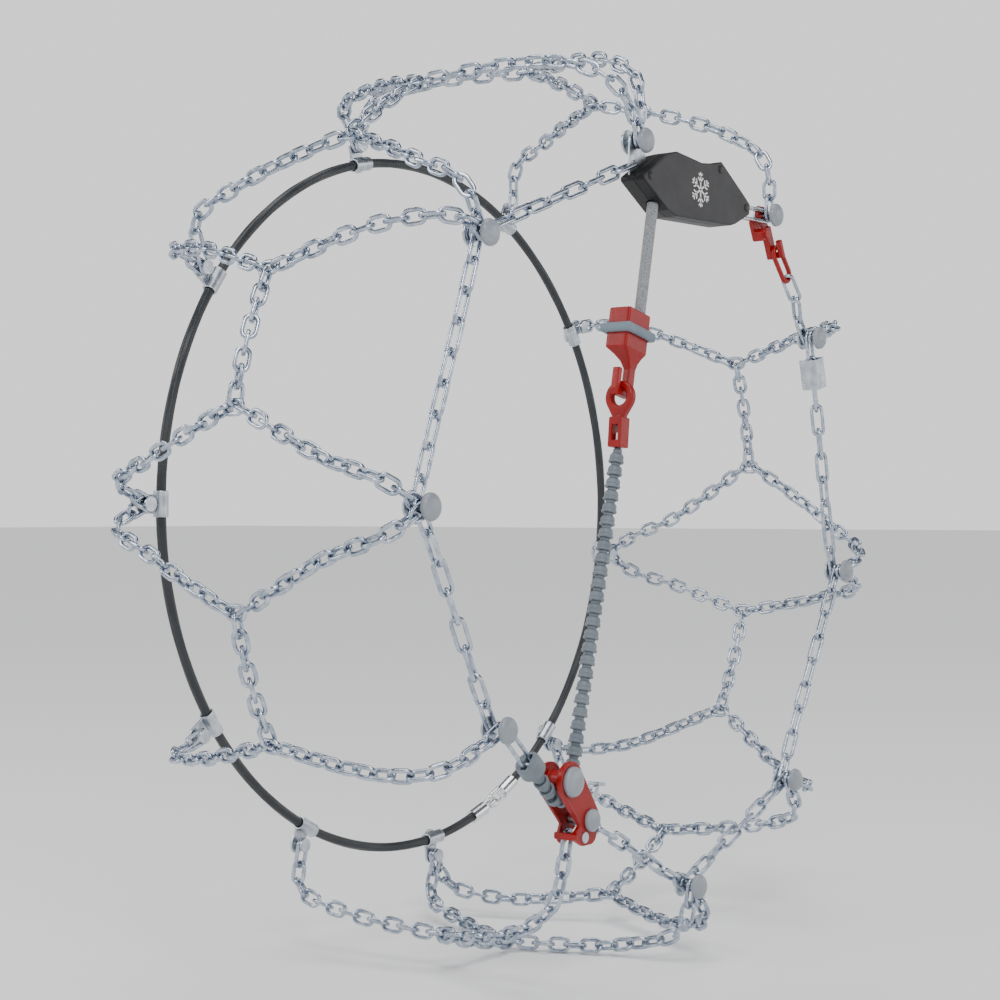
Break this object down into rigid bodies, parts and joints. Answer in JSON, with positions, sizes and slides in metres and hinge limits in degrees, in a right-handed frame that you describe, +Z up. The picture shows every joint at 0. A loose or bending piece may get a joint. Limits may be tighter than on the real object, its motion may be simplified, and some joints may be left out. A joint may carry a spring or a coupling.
{
  "type": "tire snow chain",
  "caption": "Self-tensioning snow chain net as fitted round a car tyre, with riveted side chain, elastic tensioner, bead line, lock and inner cable ring.",
  "frame": {"origin": "centre of the wheel the chain is fitted to, in the middle of the tyre's width", "axes": "+Y along the wheel axis towards the vehicle, so the outer face is at -Y; +Z up; +X to the right seen from outside"},
  "size_m": [0.6508, 0.2654, 0.6541],
  "materials": {
    "zinc_steel": "bright zinc plated chain",
    "plate_steel": "zinc plated sheet and pins",
    "bright_steel": "polished steel wire",
    "cap_plastic": "pearl light grey domed caps",
    "cable_coat": "plastic sleeve over steel cable",
    "wire_rope": "stranded steel",
    "cord_braid": "braided elastic cord, grey fleck",
    "black_plastic": "moulded black",
    "housing_plastic": "moulded dark grey with a fine grain",
    "red_enamel": "gloss red coat",
    "ring_rubber": "blue-grey rubber",
    "grey_plastic": "moulded grey"
  },
  "bodies": {
    "chain_net": {"tread_unit_left": "zinc_steel", "tread_unit_upper_left": "zinc_steel", "tread_unit_top": "zinc_steel", "tread_unit_upper_right": "zinc_steel", "tread_unit_right": "zinc_steel", "tread_unit_lower_right": "zinc_steel", "tread_unit_bottom_right": "zinc_steel", "tread_unit_bottom": "zinc_steel", "tread_unit_lock": "zinc_steel", "tread_unit_lower_left": "zinc_steel", "crown_chains": "zinc_steel", "side_chain_lower_left": "zinc_steel", "side_chain_left": "zinc_steel", "side_chain_right": "zinc_steel", "side_chain_lower_right": "zinc_steel", "side_chain_bottom": "zinc_steel", "side_chain_upper_left": "zinc_steel", "side_chain_upper_right": "zinc_steel", "rivets": "plate_steel", "inner_clip_rivets": "plate_steel", "lock_rivets": "plate_steel", "housing_pins": "plate_steel", "link_plate": "plate_steel", "inner_clips": "plate_steel", "pawl_spring": "plate_steel", "inner_cable_eye": "bright_steel", "inner_cable_hook": "bright_steel", "wire_link": "bright_steel", "shortening_clip": "bright_steel", "rivet_caps": "cap_plastic", "lock_caps": "cap_plastic", "inner_cable": "cable_coat", "cord_inside": "cord_braid", "cord_outside": "cord_braid", "cord_end_stop": "black_plastic", "housing_back": "black_plastic", "housing_front": "housing_plastic", "lock_front_plate": "red_enamel", "lock_back_plate": "red_enamel", "closure_keeper": "red_enamel", "closure_link": "red_enamel"},
    "tension_line": {"tension_hook": "red_enamel", "eye_coupler": "red_enamel", "cable_knob": "bright_steel", "tension_cable": "wire_rope", "tension_beads": "grey_plastic"},
    "storage_band": {"storage_ring": "ring_rubber"},
    "line_pulley": {"lock_pulley": "red_enamel", "wrapped_beads": "grey_plastic", "wrapped_cable": "wire_rope"},
    "line_tail": {"tail_beads": "grey_plastic", "tail_cable": "wire_rope", "tail_end_cap": "grey_plastic", "tail_pin": "plate_steel", "tail_link": "zinc_steel"},
    "left_roller": {"left_cord_roller": "black_plastic"},
    "right_roller": {"right_cord_roller": "black_plastic"},
    "pawl": {"release_pawl": "plate_steel", "pawl_pad": "grey_plastic"},
    "side_hook": {"closure_hook": "red_enamel"}
  },
  "joints": [
    {"name": "line_travel", "type": "slide", "parent": "chain_net", "child": "tension_line", "axis": [-0.2487, 0, -0.9686], "range_m": [0, 0.0087], "stiffness_N_per_m": 80, "springref_m": -0.12, "deforming": ["cord_outside"]},
    {"name": "ring_slide", "type": "slide", "parent": "tension_line", "child": "storage_band", "axis": [-0.2113, 0, -0.9774], "range_m": [-0.003, 0.003]},
    {"name": "pulley_spin", "type": "hinge", "parent": "chain_net", "child": "line_pulley", "pos_m": [-0.142, -0.124, -0.1805], "axis": [0, 1, 0], "range_deg": [0, 39.9]},
    {"name": "tail_travel", "type": "slide", "parent": "chain_net", "child": "line_tail", "axis": [-0.7373, 0, 0.6756], "range_m": [0, 0.00871]},
    {"name": "left_roller_spin", "type": "hinge", "parent": "chain_net", "child": "left_roller", "pos_m": [-0.01268, -0.124, 0.219], "axis": [0, 1, 0], "range_deg": [-23, 0]},
    {"name": "right_roller_spin", "type": "hinge", "parent": "chain_net", "child": "right_roller", "pos_m": [0.06, -0.124, 0.223], "axis": [0, 1, 0], "range_deg": [-12.1, 0]},
    {"name": "pawl_swing", "type": "hinge", "parent": "chain_net", "child": "pawl", "pos_m": [-0.12, -0.124, -0.208], "axis": [0, 1, 0], "range_deg": [-14, 0], "stiffness_Nm_per_rad": 0.05, "springref_deg": 17.19},
    {"name": "side_hook_swing", "type": "hinge", "parent": "chain_net", "child": "side_hook", "pos_m": [0.1411, -0.115, 0.2217], "axis": [0, 1, 0], "range_deg": [-2, 0]}
  ],
  "couplings": [
    {"joint": "pulley_spin", "follows": "line_travel", "rad_per_m": 80},
    {"joint": "tail_travel", "follows": "line_travel", "ratio": 1},
    {"joint": "left_roller_spin", "follows": "line_travel", "rad_per_m": -46},
    {"joint": "right_roller_spin", "follows": "line_travel", "rad_per_m": -24}
  ]
}
